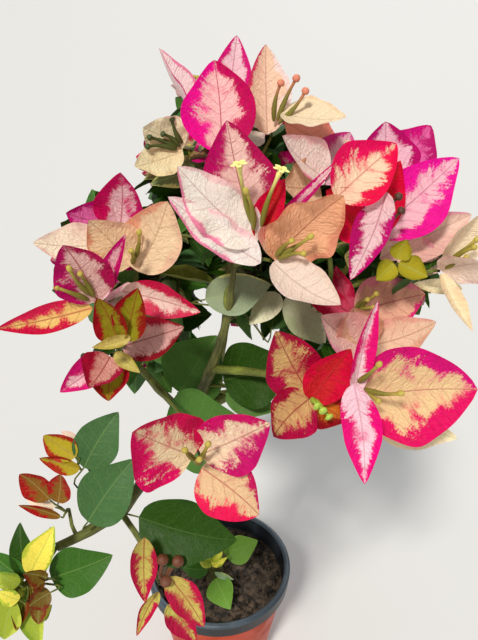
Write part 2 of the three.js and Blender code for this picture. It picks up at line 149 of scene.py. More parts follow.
# Each bloom of the frame, named without its "bloom_": its heart, the way it looks, its bracts, and
# the ends of its flowers by their stage. A bract has its tip, width, kind, shape ("open" if not
# said), its own base if it starts away from the heart, and its turn in degrees. Tips, bases and
# ends are measured from the heart.
BLOOMS = {
    "top_left": ((8, -62, 444), FRONT, [((-3, 16, 38), 33, "orchid_rose", "cup"),
        ((-12, 34, -4), 20, "magenta"), ((5, 23, -18), 24, "magenta")], {}),
    "top_behind": ((9, -38, 451), FRONT, [((6, 18, 38), 20, "pale_rose", "open", (1, 2, 3)),
        ((-32, 18, 32), 20, "cream_rose", "fold", (-10, 4, -1), 60), ((20, 30, -4), 26, "cream")], {}),
    "top_right": ((31, -48, 451), FRONT, [((-3, 14, 36), 21, "cream_peach", "cup", (-2, 0, -1), 10),
        ((32, -14, 9), 24, "pale_yellow", "open", (4, -2, 9), -40),
        ((35, 14, -12), 24, "salmon", "open", (6, 4, 4), -10)],
        {"knob": [(11, -4, 26), (15, -6, 21), (4, -4, 24)]}),
    "behind_centre": ((55, -57, 428), FRONT, [((-21, -10, 26), 20, "white_pink", "fold", (1, 0, 4), 20),
        ((-20, -14, 5), 26, "peach", "wavy"), ((14, 20, 20), 26, "dusty_rose")], {}),
    "small_cream": ((-9, -52, 444), (-0.3, -0.85, 0.3), [((-18, -6, 12), 24, "pale_yellow", "wavy"),
        ((-22, -14, -4), 18, "pale_yellow", "wavy"), ((-10, 12, 12), 18, "cream_rose")],
        {"dark": [(-16, -8, 8), (-17, -10, 4), (-10, -6, 9), (-5, -4, 16)]}),
    "centre": ((23, -105, 421), FRONT, [((-35, -4, 20), 16, "white_pink", "crumpled", (2, -4, -8), 10),
        ((-31, 0, 31), 23, "white_pink", "crumpled", (0, -1, -1)), ((-12, 22, 43), 31, "mauve"),
        ((36, 14, 32), 5, "orchid_fold"), ((11, 4, 25), 12, "scarlet", "fold")],
        {"star": [(-7, -4, 33), (9, -4, 31)], "bud": [(-5, -7, 25)]}),
    "centre_right": ((29, -109, 414), (0.4, -0.85, 0.3), [((27, -2, 29), 28, "orange_brown", "crumpled"),
        ((26, -24, -8), 19, "ivory", "cup", None, -10), ((5, 10, 13), 20, "peach")],
        {"bud": [(16, -8, 15), (8, -9, 13), (13, -11, 8)]}),
    "right_top": ((71, -97, 420), FRONT, [((7, 2, 38), 25, "cherry_cream", "cup", (-17, -8, 19)),
        ((37, 16, 28), 29, "orchid"), ((-12, -26, -7), 15, "orchid_fold", "curl", (3, -8, 22), 20),
        ((-21, -6, 22), 22, "scarlet", "cup"), ((10, 5, 31), 17, "scarlet", "open", (1, 4, -4))],
        {"brown": [(9, -8, 21), (10, -10, 16), (5, -10, 13)]}),
    "right_behind": ((85, -65, 430), FRONT, [((21, 24, 22), 26, "magenta", "open", (0, 4, 2)),
        ((-2, 16, 26), 26, "orchid_fold", "cup"), ((-22, 8, 20), 16, "cream")], {}),
    "far_right": ((101, -102, 406), (0.3, -0.85, 0.3), [((10, -22, -17), 8, "pale_yellow", "fold"),
        ((13, 2, 25), 22, "pale_yellow", "cup", None, 20), ((13, -20, 13), 18, "cream")],
        {"bud": [(11, -8, 15), (8, -9, 11), (12, -6, 18)]}),
    "right_inner": ((85, -88, 407), (0.1, -0.9, 0.5), [((33, 8, 16), 20, "blush_pink", "fold", (-8, -6, 1)),
        ((19, -6, -5), 17, "blush", "open", (2, -4, 6)),
        ((7, -8, -10), 7, "pale_yellow", "open", (33, 0, -17))], {}),
    "mid_right": ((67, -96, 382), FRONT, [((31, -2, 11), 27, "peach_rose", "crumpled"),
        ((-8, 8, 20), 9, "crimson_rose"), ((-21, 4, 7), 12, "crimson_rose")],
        {"bud": [(9, -8, 15), (5, -9, 12), (8, -11, 9)]}),
    "mid_right_low": ((70, -111, 373), FRONT, [((30, -2, 14), 19, "peach", "wavy", None, -20),
        ((-21, -8, 21), 21, "blush_pink", "fold", None, 10), ((-7, -4, 23), 22, "peach")], {}),
    "lower_right": ((62, -135, 369), (0.2, -0.95, 0.3), [
        ((50, -3, 2), 43, "magenta_cream", "round", (3, 0, -5)),
        ((7, 4, 39), 9, "hot_pink", "fold", (0, -6, -1)),
        ((5, -22, -31), 16, "hot_pink", "open", (-1, -8, 8), 28),
        ((50, 6, -31), 16, "pale_yellow", "open", (14, 6, -26))],
        {"bud": [(8, -11, 20), (18, -13, 7), (9, -14, 3)]}),
    "crimson": ((46, -132, 362), FRONT, [((-16, 0, 33), 24, "crimson_gold"),
        ((-17, -22, -3), 22, "crimson_gold", "round"), ((14, -4, 27), 18, "scarlet", "cup", (0, -2, 0)),
        ((15, -8, -6), 17, "ember", "cup")], {"green": [(2, -11, 3), (7, -12, -2), (4, -13, 2)]}),
    "front": ((0, -156, 347), FRONT, [((-23, -12, 27), 34, "rose_cream", "round", (-2, 0, 4)),
        ((28, -8, 28), 25, "rose_cream_right", "open", (1, 0, 5)),
        ((24, -22, -5), 26, "peach_red", "round", (1, 1, -3))],
        {"bud": [(-4, -12, 18), (5, -10, 20), (2, -16, 17)]}),
    "left_upper": ((-30, -96, 405), FRONT, [((-40, -4, 13), 18, "cream", "wavy", (-7, 0, 11)),
        ((-15, -8, 25), 23, "peach_clear"), ((17, 0, 30), 27, "peach_clear", "round", (2, -2, -1))],
        {"bud": [(5, -6, 20), (1, -8, 12)]}),
    "left_behind": ((-38, -76, 414), FRONT, [((4, -6, 29), 22, "pink_magenta", "cup"),
        ((-21, -10, 12), 18, "magenta"), ((16, 20, -8), 20, "pink_magenta")], {}),
    "left_front": ((-42, -116, 398), FRONT, [((-8, -10, 31), 24, "mauve", "round"),
        ((14, 2, 30), 8, "orchid_fold", "fold"), ((-38, -14, -4), 12, "gold_red", "cup", (-2, -2, -1))],
        {"bud": [(-8, -8, 21), (-4, -8, 18), (-15, -8, 12)]}),
    "left_young": ((-32, -131, 387), FRONT, [((-6, -2, 23), 13, "young", "cup"),
        ((9, 4, 24), 14, "young", "cup", (3, 0, 2)), ((-9, -8, 4), 5, "straw", "fold", (5, 0, 4))], {}),
    "left_red": ((-31, -109, 385), FRONT, [((30, -8, 9), 15, "pale_red", "curl", (-3, 4, 13), 10),
        ((25, -14, 6), 19, "dark_red_pink", "cup", (-4, -4, -10)), ((-2, 14, 12), 20, "blush")], {}),
    "left_low": ((-38, -121, 376), FRONT, [((-19, -16, -8), 13, "pale_rose", "fold"),
        ((-6, -20, -3), 17, "wine", "cup"), ((0, -14, -14), 17, "young"),
        ((14, -12, -1), 6, "straw", "fold", (2, -2, 2))], {}),
    "hanging": ((-21, -150, 266), (0.1, -0.8, 0.3), [
        ((-5, -13, 6), 12, "lime_crimson", "cup", (-4, -5, 38)),
        ((21, -14, -10), 15, "lime_crimson", "round", (5, -4, 11)),
        ((-11, -12, -20), 7, "lime_crimson", "cup", (0, -5, 2)),
        ((17, -16, -20), 12, "lime_crimson", "cup", (4, -8, -3))],
        {"fat": [(4, -8, 29), (11, -8, 27), (4, -8, 13)]}),
}

# Leaves and young shoots, as blooms without flowers.
LEAVES = {
    "shoot_red": ((-64, -136, 299), FRONT, [((-17, -1, 25), 13, "red_shoot", "round", (-6, -1, 9)),
        ((2, -3, 27), 11, "red_shoot", "round", (-2, -2, 8)),
        ((-19, -5, 10), 5, "red_shoot", "fold", (-2, -2, -1)),
        ((-18, 2, 6), 6, "cream", "leaf", (-5, 1, 2))]),
    "shoot_red_upper": ((-59, -124, 317), FRONT, [((-14, 2, 16), 13, "gold_shoot", "round", (0, 0, 5)),
        ((-16, -3, 7), 8, "gold_shoot", "fold", (1, -1, -2)),
        ((-7, 6, 15), 5, "cream", "leaf", (0, 5, 10))]),
    "shoot_young_right": ((80, -110, 414), FRONT, [((3, 0, 10), 9, "olive_shoot", "cup"),
        ((12, -6, -4), 10, "olive_shoot", "cup"), ((-9, -7, -5), 9, "olive_shoot", "cup")]),
    "leaves_centre": ((17, -77, 373), FRONT, [((14, -2, 15), 20, "silver", "leaf", (-17, -4, 8)),
        ((-43, 4, 19), 12, "olive", "fold", (-13, 3, 13), 60),
        ((4, -5, -5), 13, "pale", "leaf", (19, 5, 6)),
        ((41, -8, -15), 18, "pale", "leaf", (22, 5, 5)),
        ((19, 13, -1), 15, "dark", "leaf", (15, 2, -12))]),
    "leaf_by_stem": ((-17, -68, 316), FRONT, [((21, 8, 32), 36, "soft", "leaf")]),
    "leaf_at_fork": ((-21, -98, 312), FRONT, [((38, -1, 11), 42, "soft", "leaf")]),
    "leaves_right": ((14, -82, 330), FRONT, [((29, -4, 16), 34, "dark", "leaf", (-6, 4, 2)),
        ((21, -7, -9), 17, "soft", "leaf", (-5, 4, -6))]),
    "leaves_cane": ((-44, -134, 296), FRONT, [((12, 7, 27), 25, "grey", "leaf", (-9, -7, 2)),
        ((4, 21, 43), 21, "grey", "leaf", (-12, 9, 20)),
        ((59, -14, -3), 31, "deep", "leaf", (14, -5, 3))]),
    "leaves_cane_tip": ((-78, -160, 282), FRONT, [((38, 4, 11), 22, "mid", "leaf", (10, 2, -1)),
        ((13, 9, 24), 13, "lemon", "leaf", (2, -1, 5)), ((-4, 14, 21), 11, "deep", "leaf"),
        ((-17, 8, 9), 13, "mid", "leaf"), ((12, -8, 9), 9, "bronze", "cup"),
        ((7, -18, -23), 12, "lime", "leaf"), ((-14, -15, -21), 12, "bright", "leaf"),
        ((-2, -16, -12), 9, "bronze", "cup"), ((-8, -10, 2), 9, "lime", "leaf"),
        ((10, 12, 20), 5, "deep", "leaf", (7, 6, 2)),
        ((3, -8, 15), 8, "bronze", "cup", (11, -4, 7)),
        ((4, -12, -1), 10, "bronze", "round", (12, -6, 0)),
        ((12, -8, -6), 6, "lemon", "leaf", (5, -8, -15)),
        ((7, -14, -11), 7, "bronze", "leaf", (8, -8, -2)),
        ((-9, -6, 13), 9, "lime", "leaf", (-1, -6, 5)),
        ((-9, -10, 6), 8, "lemon", "leaf", (-1, -9, -1)),
        ((-9, -16, -19), 13, "lime", "leaf", (-4, -8, -2))]),
    "leaves_top": ((2, -42, 434), FRONT, [((-28, -10, -6), 15, "variegated", "leaf"),
        ((30, 0, 6), 13, "dark", "leaf"), ((-8, -18, -18), 12, "pale", "leaf")]),
    "shoots_basal": ((-3, -13, 97), FRONT, [((12, -24, -6), 22, "bright", "leaf"),
        ((34, 18, 20), 23, "bright", "leaf", (7, 14, 11)),
        ((-9, 2, 29), 6, "lime", "leaf", (-2, 0, 13)),
        ((7, 3, 31), 6, "lemon", "leaf", (-2, 0, 13)),
        ((-12, -2, 22), 6, "lime", "leaf", (-2, 0, 13)),
        ((10, -2, 25), 6, "lemon", "leaf", (-2, 0, 13)),
        ((-2, 4, 29), 5, "lemon", "leaf", (-2, 0, 13)),
        ((15, -6, 5), 5, "silver", "fold", (0, -2, 8)),
        ((-26, 2, 9), 14, "mid", "leaf", (-5, 2, 7)),
        ((-36, 10, 14), 15, "deep", "leaf", (-6, 6, 6))]),
}

HEART_GAP = 1.2  # how far out of the heart the other blades start

# --- Flowers ---
# Each stage: the tube's colour, the colour of its end, the end's radius and whether it is open.
STAGES = {
    "bud": ("#7c7424", "#b8a848", 1.25, False),
    "fat": ("#70401c", "#643418", 2.7, False),
    "knob": ("#7c7830", "#d88468", 1.75, False),
    "dark": ("#48541c", "#3c4c1c", 1.4, False),
    "brown": ("#6c4420", "#4c2c18", 1.7, False),
    "green": ("#8cb038", "#a8c84c", 1.9, False),
    "star": ("#7c7824", "#f2e88c", 1.3, True),
}
FLOWER_SLOT = 1  # the flower's material comes second on a bloom's piece
FLOWER_START = 0.22  # of the way from the heart to the flower's end
FLOWER_BOW = 1.2  # how far a flower bends aside
FLOWER_SIDES = 12
FLOWER_RIBS = 0.04  # how far its five ribs stand out, as a share of its radius
STAR_SIDES = 40
# The rings of an open flower, from its throat to its edge: how far out, and how far forward.
STAR_RINGS = ((0.12, -0.5), (0.45, 0.3), (0.75, 0.6), (1.0, 0.3))

# --- The crown's inside and back ---
# Inner and back masses: their heart and reach, and the bough that each grows on from.
MASSES = {
    "inner_top": ((8, 34, 434), 34, "back_top_bough"),
    "inner_upper": ((42, 6, 418), 30, "back_top_bough"),
    "inner_centre": ((22, 44, 372), 38, "back_top_bough"),
    "inner_right": ((92, 26, 388), 36, "back_right_bough"),
    "inner_right_low": ((80, -20, 330), 34, "back_right_bough"),
    "inner_left": ((-60, 12, 352), 36, "back_left_bough"),
    "inner_left_upper": ((-46, -32, 386), 30, "back_left_bough"),
    "inner_left_low": ((-38, 34, 290), 28, "back_left_bough"),
}
# Smaller clumps between them, which no solid of the frame stands for.
FILLERS = (
    ((-6, -16, 414), 22, "top_bough"), ((34, -30, 404), 24, "top_bough"),
    ((62, -30, 408), 22, "right_back_bough"), ((-26, -40, 376), 22, "left_bough"),
    ((28, -26, 366), 24, "top_bough"), ((62, -30, 366), 22, "right_back_bough"),
    ((-4, 6, 386), 24, "back_top_bough"), ((58, 26, 402), 24, "back_right_bough"),
    ((54, 48, 366), 24, "back_right_bough"), ((-16, 44, 402), 24, "back_top_bough"),
    ((-24, 40, 346), 24, "back_left_bough"), ((30, 24, 336), 24, "back_right_bough"),
    ((102, -24, 376), 20, "right_back_bough"), ((58, 4, 338), 22, "back_right_bough"),
    ((-34, -6, 330), 20, "back_left_bough"), ((-36, 28, 318), 22, "back_left_bough"),
)
CROWN_MIDDLE = (20, -70, 375)
CLUMPS_A_PIECE = 4
SHOOTS_A_CLUMP = 8
LEAVES_A_SHOOT = 6
LEAVES_A_STALK = 8
LEAFY_LIMBS = {"top_bough": 9, "right_top_twig": 6, "far_right_twig": 6, "right_back_bough": 8,
               "left_bough": 3}
BARE_STALKS = ("front", "hanging", "left_young", "centre", "centre_right")
BACK_BRACTS = ("orchid_rose", "pink_magenta", "dusty_rose", "rose_cream", "blush", "mauve", "cream_rose")
BACK_LEAVES = ("deep", "mid", "soft", "dark", "grey", "variegated")

# --- Limbs ---
# The points that each limb follows, and the radius at each end.
FORK = (-9, -66, 300)
CANE_NODE = (-41, -126, 288)
BACK_FORK = (8, 22, 318)
RIGHT_FORK = (60, -80, 385)
LIMBS = {
    "trunk": ([(-5, 3, 81), (-5, -3, 102), (-8, -18, 165), (-3, -40, 230), FORK], 5.2, 4.2),
    "main_stem": ([FORK, (-2, -73, 326), (9, -82, 365), (14, -90, 403)], 3.6, 1.2),
    "cane_base": ([FORK, (-23, -93, 297), (-32, -111, 294), CANE_NODE], 3.5, 2.9),
    "cane_tip": ([CANE_NODE, (-55, -137, 287), (-68, -145, 286)], 2.6, 2.0),
    "hanging_twig": ([CANE_NODE, (-30, -138, 280), (-21, -150, 268)], 1.6, 1.1),
    "left_bough": ([FORK, (-19, -80, 320), (-31, -92, 348), (-37, -100, 366)], 2.4, 1.6),
    "right_bough": ([(2, -76, 338), (28, -96, 349), (50, -120, 358)], 2.2, 1.5),
    "right_back_bough": ([FORK, (20, -62, 320), (45, -72, 352), RIGHT_FORK], 2.9, 1.9),
    "right_top_twig": ([RIGHT_FORK, (68, -88, 408), (70, -96, 419)], 1.6, 1.2),
    "far_right_twig": ([RIGHT_FORK, (80, -90, 397), (99, -100, 405)], 1.5, 1.1),
    "top_bough": ([(10, -84, 378), (13, -66, 408), (12, -56, 430)], 1.9, 1.5),
    "back_bough": ([(-8, -21, 158), (-6, -16, 172), (-2, 6, 240), BACK_FORK], 3.6, 2.6),
    "back_top_bough": ([BACK_FORK, (12, 34, 372), (8, 36, 430)], 2.3, 1.5),
    "back_right_bough": ([BACK_FORK, (46, 28, 345), (88, 26, 384)], 2.2, 1.5),
    "back_left_bough": ([(-1, 10, 256), (-30, 18, 290), (-54, 14, 326)], 2.2, 1.5),
}
LIMB_STEP = 1.5
LIMB_SIDES = 14
NODE_STEPS = 14  # steps of the path from one node to the next
NODE_SWELLING = 0.13  # of the limb's radius
ROOT_FLARE = 0.75  # how much the trunk widens at its foot, as a share of its radius
FLARE_HEIGHT = 22
TWIG_STEP = 2.5
TWIG_SIDES = 7
STALK_RADIUS, LEAF_STALK_RADIUS = 0.8, 0.45
CLUMP_RADIUS, SHOOT_RADIUS = 1.1, 0.7  # of the twigs to and in a clump

# --- The pot ---
POT_FOOT = 39.0  # its radius
SOIL_LEVEL = 81.4
SOIL_RADIUS = 50.6
SOIL_RINGS, SOIL_SIDES = 26, 72
CRUMBS = 420
CRUMB_SIDES = 7

# --- The view, in metres and degrees ---
FLOOR_HALF = 12.0
SENSOR_WIDTH = LENS = 36  # mm
CAMERA_PLACE = (0.016, -0.348, 0.524)
CAMERA_TILT = 60  # up from straight down

Blade = namedtuple("Blade", "tip width kind shape base turn", defaults=("open", None, 0))


def linear(hex_colour):
    """A colour such as "#a04020" as linear red, green and blue."""
    parts = [int(hex_colour[i:i + 2], 16) / 255 for i in (1, 3, 5)]
    return np.array([p / 12.92 if p <= 0.04045 else ((p + 0.055) / 1.055) ** 2.4 for p in parts])


def opaque(hex_colour):
    return (*linear(hex_colour), 1.0)


def unit(v):
    v = np.asarray(v, float)
    return v / np.linalg.norm(v)


def smooth_path(points, step):
    """Places about a step apart on a smooth curve through the points."""
    p = np.asarray(points, float)
    ends = np.vstack([2 * p[0] - p[1], p, 2 * p[-1] - p[-2]])
    found = []
    for a, b, c, d in zip(ends, ends[1:], ends[2:], ends[3:]):
        count = max(2, int(np.linalg.norm(c - b) / step))
        for t in np.arange(count) / count:
            found.append(0.5 * (2 * b + (c - a) * t + (2 * a - 5 * b + 4 * c - d) * t ** 2
                                + (3 * b - a - 3 * c + d) * t ** 3))
    found.append(p[-1])
    return np.array(found)


def distances(path):
    """How far along a path each of its places is."""
    return np.concatenate([[0], np.cumsum(np.linalg.norm(np.diff(path, axis=0), axis=1))])


def ring_frame(direction):
    """Two directions at right angles to a direction and to each other."""
    direction = unit(direction)
    helper = UP if abs(direction[2]) < 0.9 else (1, 0, 0)
    first = unit(np.cross(helper, direction))
    return first, np.cross(direction, first)


def aside_from(direction, angle):
    """A direction at right angles to another, at an angle about it."""
    first, second = ring_frame(direction)
    return first * math.cos(angle) + second * math.sin(angle)


def even_turns(sides):
    return np.linspace(0, 2 * np.pi, sides, endpoint=False)


def circle(turns, first, second):
    """The directions at some turns, in the plane of two directions."""
    return np.cos(turns)[:, None] * first + np.sin(turns)[:, None] * second


def circles_along(path, turns):
    """A circle of directions for each place on a path. They don't twist about it."""
    heading = np.gradient(path, axis=0)
    first, _ = ring_frame(heading[0])
    for ahead in heading:
        ahead = unit(ahead)
        first = unit(first - ahead * first.dot(ahead))
        yield circle(turns, first, np.cross(ahead, first))


def add_object(name, data):
    """Puts an object with this data in the scene."""
    made = bpy.data.objects.new(name, data)
    bpy.context.scene.collection.objects.link(made)
    return made


# --- Gathering faces ---
def cornered(grid):
    """The values at the four corners of each face between a grid's rows and columns."""
    return np.stack([grid[:-1, :-1], grid[:-1, 1:], grid[1:, 1:], grid[1:, :-1]], 2)


class Growth:
    """Gathers sheets of faces, with the values their materials read, and makes one mesh of them.

    spot is the place on a blade in mm: along it, across it, and in from its edge.
    habit is the border's width in mm, how strong the veins are, and a number that sets it apart.
    """

    def __init__(self):
        self.places, self.faces, self.slots, self.corners = [], [], [], []
        self.values = {"spot": [], "habit": [], "middle": [], "border": []}
        self.count = 0

    def sheet(self, places, spots, habit, middle, borders, slot=0, closed=False):
        """Adds a grid of places, rows by columns. A closed one joins its last column to its first."""
        rows, columns = places.shape[:2]
        total = rows * columns
        self.places.append(places.reshape(-1, 3))
        self.values["spot"].append(spots.reshape(-1, 3))
        self.values["habit"].append(np.tile(habit, (total, 1)))
        self.values["middle"].append(np.tile(middle, (total, 1)))
        self.values["border"].append(borders.reshape(-1, 3))
        index = np.arange(total).reshape(rows, columns) + self.count
        if closed:
            index = np.hstack([index, index[:, :1]])
        quads = cornered(index).reshape(-1, 4)
        self.faces.append(quads)
        self.slots.append(np.full(len(quads), slot))
        row, column = np.indices(index.shape)
        square = np.stack([column / (index.shape[1] - 1), row / (rows - 1)], -1)
        self.corners.append(cornered(square).reshape(-1, 2))
        self.count += total

    def plain(self, places, slot=0):
        """Adds a closed grid of places, for a material that reads no values."""
        none = np.zeros_like(places)
        self.sheet(places, none, (0, 0, 0), (0, 0, 0), none, slot, closed=True)

    def rings(self, rings, turns, along, middle, colours, slot):
        """Adds a tube from its rings. The spots say how far along and how far round a place is."""
        places = np.array(rings)
        spots = np.zeros_like(places)
        spots[..., 0] = along[:, None]
        spots[..., 1] = turns
        borders = np.repeat(np.asarray(colours)[:, None, :], len(turns), axis=1)
        self.sheet(places, spots, (0, 0, 0), middle, borders, slot, closed=True)

    def add_map(self, mesh):
        """Adds a texture map that gives each sheet of faces a square of its own, for the export."""
        across = math.ceil(math.sqrt(len(self.corners)))
        placed = []
        for i, corners in enumerate(self.corners):
            square = np.array((i % across, i // across))
            placed.append((square + MAP_MARGIN + corners * (1 - 2 * MAP_MARGIN)) / across)
        layer = mesh.uv_layers.new(name=MAP_NAME)
        layer.data.foreach_set("uv", np.vstack(placed).astype(np.float32).ravel())

    def make(self, name, materials, slot, *nodes, mapped=True):
        """Makes one piece, in metres, that rides on the plant's one body in place of CAD nodes."""
        mesh = bpy.data.meshes.new(name)
        places = np.vstack(self.places) * MM
        mesh.from_pydata(places.tolist(), [], np.vstack(self.faces).tolist())
        for label, rows in self.values.items():
            layer = mesh.attributes.new(label, "FLOAT_VECTOR", "POINT")
            layer.data.foreach_set("vector", np.vstack(rows).astype(np.float32).ravel())
        for material in materials:
            mesh.materials.append(material)
        mesh.polygons.foreach_set("material_index", np.concatenate(self.slots).astype(np.int32))
        mesh.polygons.foreach_set("use_smooth", [True] * len(mesh.polygons))
        if mapped:
            self.add_map(mesh)
        mesh.update()
        piece = add_object(name, mesh)
        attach(piece, "root")
        if nodes:
            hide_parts(*nodes)


# --- Blades: bracts and leaves ---
def outline(along, drawn_out):
    """How wide a blade is at 0 to 1 along it, as a share of its widest."""
    wide = np.sin(np.pi * np.clip(along, 0, 1) ** 0.8) ** 0.72
    return wide * (1 - drawn_out * np.clip((along - TIP_START) / (1 - TIP_START), 0, 1) ** 1.3)


def facing_up(midrib, facing, turn):
    """The way a blade's face looks: as near to facing as its midrib lets it, then turned by degrees."""
    up = facing - midrib * facing.dot(midrib)
    if np.linalg.norm(up) < 1e-3:
        up = np.cross(midrib, (1, 0, 0))
    up = unit(up)
    angle = math.radians(turn)
    return up * math.cos(angle) + np.cross(midrib, up) * math.sin(angle)


def add_blade(growth, rng, base, tip, width, facing, kind, shape, turn=0, light=False):
    """Adds one bract or leaf from its base to its tip."""
    rows, columns = (LIGHT_ROWS, LIGHT_COLUMNS) if light else (BLADE_ROWS, BLADE_COLUMNS)
    midrib = tip - base
    length = np.linalg.norm(midrib)
    midrib /= length
    up = facing_up(midrib, unit(facing), turn)
    side = np.cross(up, midrib)
    rise, fold, belly, lift, waves, drawn_out = SHAPES[shape]
    colours, border, veins = KINDS[kind]
    middle, left, right = map(linear, colours.split())

    along = np.linspace(0, 1, rows + 1)[:, None]
    across = np.linspace(-1, 1, columns + 1)[None, :]
    half = width / 2 * outline(along, drawn_out)
    half = half * (1 + EDGE_WOBBLE * np.sin(7 * along + rng.uniform(0, 6)) * np.sign(across))
    x = half * across
    out = rise * np.abs(x) * np.abs(across) + fold * np.abs(x)
    out = out - belly * length * 4 * along * (1 - along)
    out = out + lift * length * np.clip(along - TIP_START, 0, 1) ** 2 * 4
    phase = rng.uniform(0, 6, 2)
    ripple = np.sin(along * 17 + phase[0] + np.sign(across) * phase[1])
    out = out + waves * half * ripple * np.abs(across) ** 2.5
    sway = rng.uniform(-MOST_SWAY, MOST_SWAY) * length * np.sin(np.pi * along)
    places = (base + midrib * (along * length)[..., None] + side * (x + sway)[..., None]
              + up * out[..., None])

    from_edge = (1 - np.abs(across)) * (0.35 * half + 0.6 * width / 2)
    from_edge = from_edge + BASE_CLEARING * np.clip(1 - along / CLEARING_LENGTH, 0, 1)
    spots = np.stack([along * length + 0 * x, x, from_edge], -1)
    jitter = 1 + rng.uniform(-COLOUR_JITTER, COLOUR_JITTER, 3)
    share = np.clip(0.5 + across * 1.5, 0, 1)[..., None] + 0 * along[..., None]
    borders = left * share + right * (1 - share)
    habit = (min(border, WIDEST_BORDER * width), veins, rng.uniform(0, 50))
    growth.sheet(places, spots, habit, middle * jitter, borders * jitter)


# --- Flowers ---
def add_tube(growth, path, radii, colours, slot, sides, ribs=0.0):
    """Adds a round tube along a path. colours has one colour for each place on the path."""
    turns = even_turns(sides)
    ribbed = (1 + ribs * np.cos(5 * turns))[:, None]
    rings = []
    for place, radius, flat in zip(path, radii, circles_along(path, turns)):
        rings.append(place + flat * radius * ribbed)
    growth.rings(rings, turns, distances(path), colours[0] * 0.6, colours, slot)


def add_flower(growth, rng, start, end, stage):
    """Adds one slender flower: a ribbed tube with a closed or open end."""
    body, tip, end_radius, is_open = STAGES[stage]
    along = np.append(np.linspace(0, 0.8, 9), np.linspace(0.83, 1, 9))
    bow = np.cross(end - start, rng.normal(size=3))
    bow = unit(bow) * FLOWER_BOW
    path = start + (end - start) * along[:, None] + bow * np.sin(np.pi * along)[:, None]
    swelling = 0.35 * np.exp(-((along - 0.28) / 0.16) ** 2)
    waist = 0.25 * np.exp(-((along - 0.72) / 0.15) ** 2)
    radii = 0.9 + swelling - waist
    if is_open:
        radii = radii + 0.5 * np.clip((along - 0.85) / 0.15, 0, 1)
    else:
        knob = np.sqrt(np.clip(1 - ((along - 0.91) / 0.092) ** 2, 0, 1))
        radii = np.where(along > 0.86, end_radius * knob, radii)
        radii[-1] = 0.01
    radii[0] = 0.5
    share = np.clip((along - 0.55) / 0.35, 0, 1)[:, None]
    colours = linear(body) * (1 - share) + linear(tip) * share
    add_tube(growth, path, radii, colours, FLOWER_SLOT, FLOWER_SIDES, FLOWER_RIBS)
    if is_open:
        add_star(growth, path[-1], end - start, tip)


def add_star(growth, middle, direction, colour):
    """Adds the five notched lobes of an open flower."""
    turns = even_turns(STAR_SIDES)
    flat = circle(turns, *ring_frame(direction))
    reach = 1.3 + 2.2 * np.abs(np.cos(2.5 * turns)) ** 0.7
    places = np.array([middle + flat * (reach * share)[:, None] + unit(direction) * rise
                       for share, rise in STAR_RINGS])
    borders = np.tile(linear(colour), (len(STAR_RINGS), STAR_SIDES, 1))
    # The throat's ring, set back into the tube, has half the lobes' colour: painted shade in the throat.
    borders[0] *= 0.5
    none = np.zeros_like(places)
    growth.sheet(places, none, (0, 0, 0), (0, 0, 0), borders, FLOWER_SLOT, closed=True)


# --- Materials ---
class Nodes:
    """Short calls that build one material's nodes."""

    def __init__(self, name):
        self.material = bpy.data.materials.new(name)
        self.material.use_nodes = True
        self.tree = self.material.node_tree
        self.shader = self.tree.nodes["Principled BSDF"]

    def add(self, kind, *values, **settings):
        """Adds a node, sets how it works, and feeds its first inputs."""
        node = self.tree.nodes.new("ShaderNode" + kind)
        for setting, value in settings.items():
            setattr(node, setting, value)
        for value, socket in zip(values, node.inputs):
            self.put(value, socket)
        return node

    def put(self, value, socket):
        if isinstance(value, bpy.types.NodeSocket):
            self.tree.links.new(value, socket)
        else:
            socket.default_value = value

    def math(self, operation, *values, clamp=False):
        return self.add("Math", *values, operation=operation, use_clamp=clamp).outputs[0]

    def plus(self, first, second):
        return self.math("ADD", first, second)

    def minus(self, first, second):
        return self.math("SUBTRACT", first, second)

    def times(self, first, second, clamp=False):
        return self.math("MULTIPLY", first, second, clamp=clamp)

    def ease(self, value, low, high, start=0.0, end=1.0):
        """From start to end, smoothly, as the value goes from low to high."""
        return self.add("MapRange", value, low, high, start, end,
                        interpolation_type="SMOOTHSTEP").outputs[0]

    def mix(self, share, first, second, way="MIX"):
        node = self.add("Mix", share, data_type="RGBA", blend_type=way)
        self.put(first, node.inputs[6])
        self.put(second, node.inputs[7])
        return node.outputs[2]

    def darken(self, share, colour, filter_colour):
        """A colour, and a share of it seen through a filter."""
        return self.mix(share, colour, self.mix(1.0, colour, (*filter_colour, 1.0), "MULTIPLY"))

    def vector(self, x, y, z):
        return self.add("CombineXYZ", x, y, z).outputs[0]

    def noise(self, vector, scale=1.0, detail=2.0):
        node = self.add("TexNoise", vector)
        node.inputs["Scale"].default_value = scale
        node.inputs["Detail"].default_value = detail
        return node.outputs["Fac"]

    def cells(self, vector, scale):
        """The distance to the nearest edge between cells."""
        node = self.add("TexVoronoi", vector, feature="DISTANCE_TO_EDGE")
        node.inputs["Scale"].default_value = scale
        return node.outputs["Distance"]

    def read(self, name):
        """A value that the mesh carries."""
        return self.add("Attribute", attribute_name=name).outputs["Vector"]

    def split(self, vector):
        return self.add("SeparateXYZ", vector).outputs

    def place(self):
        """The place on the object, in metres."""
        return self.add("TexCoord").outputs["Object"]

    def finish(self, colour, roughness, height=None, relief=0.0, strength=0.5):
        self.put(colour, self.shader.inputs["Base Color"])
        self.put(roughness, self.shader.inputs["Roughness"])
        if height is not None:
            bump = self.add("Bump")
            bump.inputs["Strength"].default_value = strength
            bump.inputs["Distance"].default_value = relief
            self.put(height, bump.inputs["Height"])
            self.put(bump.outputs[0], self.shader.inputs["Normal"])
        return self.material

    def glow_through(self, colour, share):
        """Lets a share of the light through, in the blade's own colour."""
        thin = self.add("BsdfTranslucent", colour)
        both = self.add("MixShader", share, self.shader.outputs[0], thin.outputs[0])
        self.put(both.outputs[0], self.tree.nodes["Material Output"].inputs["Surface"])


